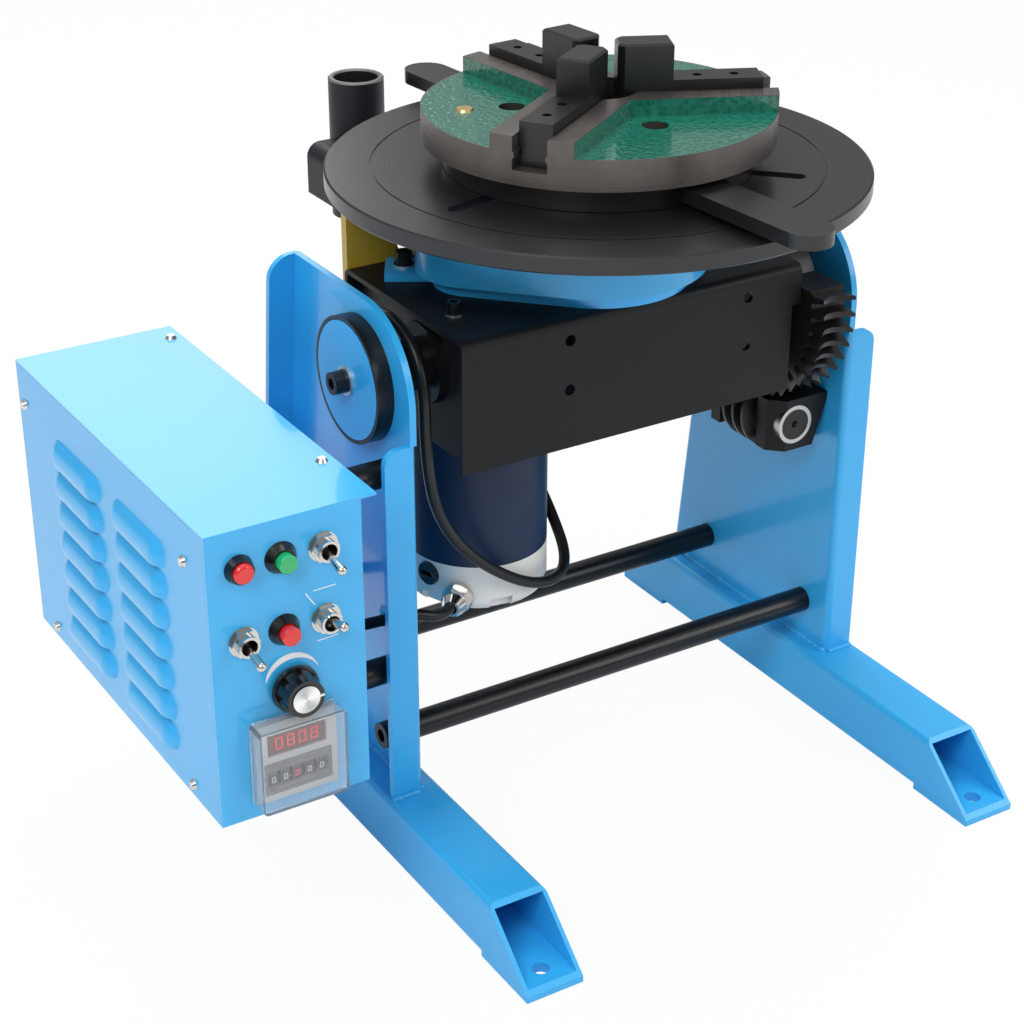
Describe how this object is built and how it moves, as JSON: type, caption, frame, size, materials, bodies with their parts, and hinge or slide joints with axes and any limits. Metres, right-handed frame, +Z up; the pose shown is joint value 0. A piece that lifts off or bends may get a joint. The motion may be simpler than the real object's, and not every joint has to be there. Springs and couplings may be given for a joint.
{
  "type": "welding positioner",
  "caption": "Bench welding positioner: tilting motor-driven round table with a three-jaw scroll chuck, worm tilt drive, torch socket and control box on a welded stand.",
  "frame": {"origin": "centre of the four anchor holes, on the floor", "axes": "+X along the tilt axis toward the worm drive, -Y toward the control panel's side, +Z up"},
  "size_m": [0.484, 0.4285, 0.4525],
  "materials": {
    "blue_paint": "gloss sky blue enamel",
    "black_paint": "satin black paint",
    "black_oxide": "black oxide on turned steel",
    "navy_paint": "gloss navy enamel",
    "green_hammer": "green hammertone over cast iron",
    "yellow_paint": "mustard yellow enamel",
    "cream_plastic": "moulded end cap",
    "steel": "machined steel",
    "bright": "nickel plated",
    "bronze": "cast bronze",
    "black_plastic": "moulded black",
    "red_plastic": "gloss red",
    "green_plastic": "gloss green",
    "clear_cover": "smoked clear polycarbonate",
    "cable_rubber": "black sheath"
  },
  "bodies": {
    "base": {"foot_left": "blue_paint", "foot_right": "blue_paint", "frame_left": "blue_paint", "frame_right": "blue_paint", "tie_rods": "black_oxide", "box_bars": "black_oxide", "bearing_ring": "black_oxide", "worm_blocks": "black_paint", "worm_bushes": "steel", "box_body": "blue_paint", "box_lid": "blue_paint", "box_side": "blue_paint", "box_screws": "bright", "lamp_lens": "red_plastic", "panel_nuts": "bright", "timer_body": "black_plastic", "motor_cable": "cable_rubber", "loop_cable": "cable_rubber"},
    "tilt": {"channel": "black_paint", "channel_inner": "black_paint", "journals": "black_oxide", "pivot_disc": "blue_paint", "pivot_bolt": "black_oxide", "worm_wheel": "black_oxide", "gear_case": "blue_paint", "case_lid": "black_oxide", "tilt_screws": "black_oxide", "spindle_bearings": "steel", "motor_gearhead": "black_paint", "motor_case": "navy_paint", "motor_cap": "cream_plastic", "brush_plugs": "black_plastic", "motor_gland": "bright", "torch_plate": "yellow_paint", "torch_arm": "black_oxide", "torch_tube": "black_oxide"},
    "turntable": {"table": "black_oxide", "spindle": "steel", "ring_gear": "steel", "chuck_body": "green_hammer", "chuck_plug": "bronze"},
    "scroll": {"scroll_ring": "black_oxide"},
    "jaw_a": {"jaw_1": "black_oxide"},
    "jaw_b": {"jaw_2": "black_oxide"},
    "jaw_c": {"jaw_3": "black_oxide"},
    "motor_pinion": {"pinion": "steel"},
    "worm": {"worm_shaft": "steel", "handwheel": "black_plastic"},
    "green_cap": {"green_button": "green_plastic"},
    "red_cap": {"red_button": "red_plastic"},
    "power_toggle": {"power_lever": "bright"},
    "mode_toggle": {"mode_lever": "bright"},
    "direction_toggle": {"direction_lever": "bright"},
    "knob": {"speed_knob": "black_plastic"},
    "cover": {"timer_cover": "clear_cover"},
    "setting_wheel_1": {"thumbwheel_1": "black_plastic"},
    "setting_wheel_2": {"thumbwheel_2": "black_plastic"},
    "setting_wheel_3": {"thumbwheel_3": "black_plastic"},
    "setting_wheel_4": {"thumbwheel_4": "black_plastic"},
    "setting_wheel_5": {"thumbwheel_5": "black_plastic"}
  },
  "joints": [
    {"name": "tilt", "type": "hinge", "parent": "base", "child": "tilt", "pos_m": [0, 0.024, 0.286], "axis": [1, 0, 0], "range_deg": [0, 90], "deforming": ["loop_cable", "motor_cable"]},
    {"name": "worm_turn", "type": "hinge", "parent": "base", "child": "worm", "pos_m": [0.126, 0.024, 0.203], "axis": [0, 1, 0], "range_deg": [-3780, 0]},
    {"name": "table_spin", "type": "hinge", "parent": "tilt", "child": "turntable", "pos_m": [0, 0.024, 0.38], "axis": [0, 0, 1], "continuous": true},
    {"name": "pinion_spin", "type": "hinge", "parent": "tilt", "child": "motor_pinion", "pos_m": [-0.06674, 0.04895, 0.338], "axis": [0, 0, 1], "continuous": true},
    {"name": "scroll_turn", "type": "hinge", "parent": "turntable", "child": "scroll", "pos_m": [0, 0.024, 0.392], "axis": [0, 0, 1], "range_deg": [-120, 1400]},
    {"name": "jaw_a_slide", "type": "slide", "parent": "turntable", "child": "jaw_a", "axis": [-0.0872, 0.9962, 0], "range_m": [-0.003, 0.032]},
    {"name": "jaw_b_slide", "type": "slide", "parent": "turntable", "child": "jaw_b", "axis": [-0.8192, -0.5736, 0], "range_m": [-0.003, 0.032]},
    {"name": "jaw_c_slide", "type": "slide", "parent": "turntable", "child": "jaw_c", "axis": [0.9063, -0.4226, 0], "range_m": [-0.003, 0.032]},
    {"name": "green_press", "type": "slide", "parent": "base", "child": "green_cap", "axis": [0, 1, 0], "range_m": [0, 0.003], "stiffness_N_per_m": 400, "springref_m": -0.002},
    {"name": "red_press", "type": "slide", "parent": "base", "child": "red_cap", "axis": [0, 1, 0], "range_m": [0, 0.003], "stiffness_N_per_m": 400, "springref_m": -0.002},
    {"name": "power_flip", "type": "hinge", "parent": "base", "child": "power_toggle", "pos_m": [-0.2385, -0.089, 0.255], "axis": [-1, 0, 0], "range_deg": [0, 24]},
    {"name": "mode_flip", "type": "hinge", "parent": "base", "child": "mode_toggle", "pos_m": [-0.285, -0.089, 0.2135], "axis": [-1, 0, 0], "range_deg": [0, 24]},
    {"name": "direction_flip", "type": "hinge", "parent": "base", "child": "direction_toggle", "pos_m": [-0.2385, -0.089, 0.2135], "axis": [1, 0, 0], "range_deg": [0, 24]},
    {"name": "knob_turn", "type": "hinge", "parent": "base", "child": "knob", "pos_m": [-0.2585, -0.089, 0.1785], "axis": [0, 1, 0], "range_deg": [-240, 60]},
    {"name": "cover_swing", "type": "hinge", "parent": "base", "child": "cover", "pos_m": [-0.26, -0.08995, 0.11465], "axis": [1, 0, 0], "range_deg": [0, 90]},
    {"name": "setting_1_turn", "type": "hinge", "parent": "base", "child": "setting_wheel_1", "pos_m": [-0.274, -0.0865, 0.128], "axis": [1, 0, 0], "continuous": true},
    {"name": "setting_2_turn", "type": "hinge", "parent": "base", "child": "setting_wheel_2", "pos_m": [-0.267, -0.0865, 0.128], "axis": [1, 0, 0], "continuous": true},
    {"name": "setting_3_turn", "type": "hinge", "parent": "base", "child": "setting_wheel_3", "pos_m": [-0.26, -0.0865, 0.128], "axis": [1, 0, 0], "continuous": true},
    {"name": "setting_4_turn", "type": "hinge", "parent": "base", "child": "setting_wheel_4", "pos_m": [-0.253, -0.0865, 0.128], "axis": [1, 0, 0], "continuous": true},
    {"name": "setting_5_turn", "type": "hinge", "parent": "base", "child": "setting_wheel_5", "pos_m": [-0.246, -0.0865, 0.128], "axis": [1, 0, 0], "continuous": true}
  ],
  "couplings": [
    {"joint": "worm_turn", "follows": "tilt", "ratio": -42},
    {"joint": "pinion_spin", "follows": "table_spin", "ratio": -4},
    {"joint": "jaw_a_slide", "follows": "scroll_turn", "m_per_rad": 0.0012732},
    {"joint": "jaw_b_slide", "follows": "scroll_turn", "m_per_rad": 0.0012732},
    {"joint": "jaw_c_slide", "follows": "scroll_turn", "m_per_rad": 0.0012732}
  ]
}
